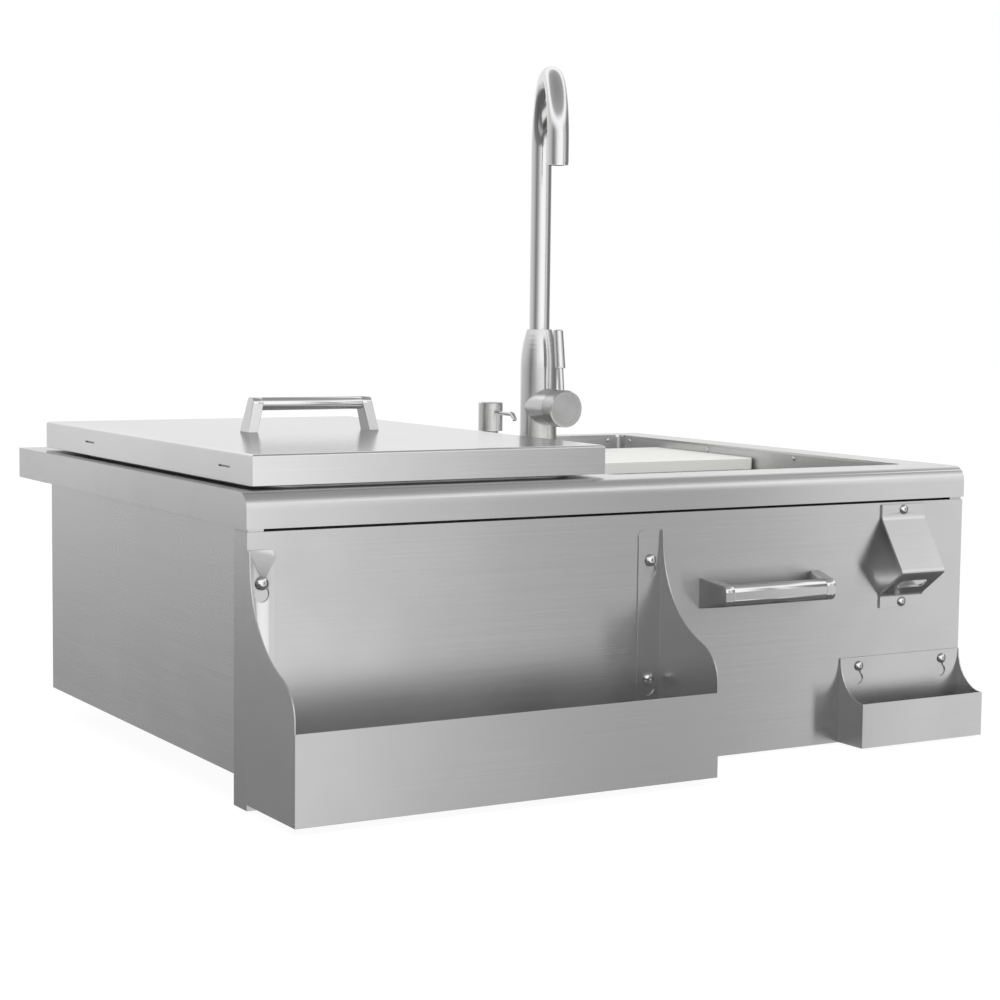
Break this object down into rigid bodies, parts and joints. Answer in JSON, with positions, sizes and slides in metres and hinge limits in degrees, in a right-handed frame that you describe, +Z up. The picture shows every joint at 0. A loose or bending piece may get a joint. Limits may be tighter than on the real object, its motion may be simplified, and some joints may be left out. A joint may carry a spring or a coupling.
{
  "type": "bar sink with ice bin",
  "caption": "Built-in stainless bar centre: lidded ice bin beside a recessed sink with tap, soap pump and cutting board, and a bottle rail, towel bar, opener and cap catcher in front.",
  "frame": {"origin": "middle of the rear deck flange's underside, where the unit rests on the counter", "axes": "+X to the user's right along the deck's width, +Y to the back, +Z up; the front panel and its fittings face -Y"},
  "size_m": [0.762, 0.6682, 0.6705],
  "materials": {
    "brushed": "brushed",
    "polished": "polished",
    "rubber": "matt",
    "board_plastic": "fine grain",
    "foam": "matt",
    "clear_plastic": "translucent",
    "white_plastic": "satin"
  },
  "bodies": {
    "unit": {"top_deck": "brushed", "side_left": "brushed", "side_right": "brushed", "back_panel": "brushed", "floor_panel": "brushed", "front_panel": "brushed", "sink": "brushed", "ice_liner": "brushed", "bottle_opener": "brushed", "tap_body": "brushed", "soap_collar": "brushed", "recess_screws": "polished", "strainer": "polished", "strainer_nut": "polished", "tailpiece": "polished", "ice_drain": "polished", "ice_drain_nut": "polished", "tap_shank": "polished", "tap_nut": "polished", "valve_spindle": "polished", "rail_screws": "polished", "towel_bar": "polished", "towel_end_left": "polished", "towel_end_right": "polished", "towel_screws": "polished", "opener_screws": "polished", "catcher_screws": "polished", "back_screws": "polished", "strainer_gasket": "rubber", "tap_gasket": "rubber", "tap_washer": "rubber", "ice_foam": "foam", "soap_bottle": "clear_plastic", "dip_tube": "clear_plastic", "soap_nut": "white_plastic"},
    "lid": {"lid_skin": "brushed", "lid_foam": "foam", "lid_pan": "brushed", "lid_seal": "rubber", "lid_grip": "polished", "lid_grip_left": "polished", "lid_grip_right": "polished", "lid_grip_screws": "polished"},
    "board": {"cutting_board": "board_plastic"},
    "basket": {"strainer_basket": "polished"},
    "gooseneck": {"spout": "brushed", "aerator": "polished"},
    "lever": {"valve_cap": "brushed", "lever_rod": "polished", "lever_grip": "polished"},
    "pump_swivel": {"soap_bushing": "white_plastic", "pump_spring": "polished"},
    "pump": {"pump_head": "brushed", "pump_nozzle": "polished", "pump_stem": "polished"},
    "rail": {"bottle_rail": "brushed"},
    "catcher": {"cap_catcher": "brushed"}
  },
  "joints": [
    {"name": "lid_lift", "type": "slide", "parent": "unit", "child": "lid", "axis": [0, 0, 1], "range_m": [0, 0.2]},
    {"name": "board_slide", "type": "slide", "parent": "unit", "child": "board", "axis": [0, 1, 0], "range_m": [-0.234, 0.018]},
    {"name": "basket_lift", "type": "slide", "parent": "unit", "child": "basket", "axis": [0, 0, 1], "range_m": [0, 0.2]},
    {"name": "spout_swivel", "type": "hinge", "parent": "unit", "child": "gooseneck", "pos_m": [0.205, -0.058, 0.23], "axis": [0, 0, 1], "continuous": true},
    {"name": "lever_turn", "type": "hinge", "parent": "unit", "child": "lever", "pos_m": [0.205, -0.109, 0.067], "axis": [0, 1, 0], "range_deg": [0, 90]},
    {"name": "nozzle_swivel", "type": "hinge", "parent": "unit", "child": "pump_swivel", "pos_m": [0.142, -0.058, 0.03], "axis": [0, 0, 1], "range_deg": [-180, 40]},
    {"name": "pump_press", "type": "slide", "parent": "pump_swivel", "child": "pump", "axis": [0, 0, -1], "range_m": [0, 0.012], "stiffness_N_per_m": 400, "springref_m": -0.01, "deforming": ["pump_spring"]},
    {"name": "rail_hook", "type": "slide", "parent": "unit", "child": "rail", "axis": [0, 0, 1], "range_m": [0, 0.009]},
    {"name": "catcher_hook", "type": "slide", "parent": "unit", "child": "catcher", "axis": [0, 0, 1], "range_m": [0, 0.012]}
  ]
}
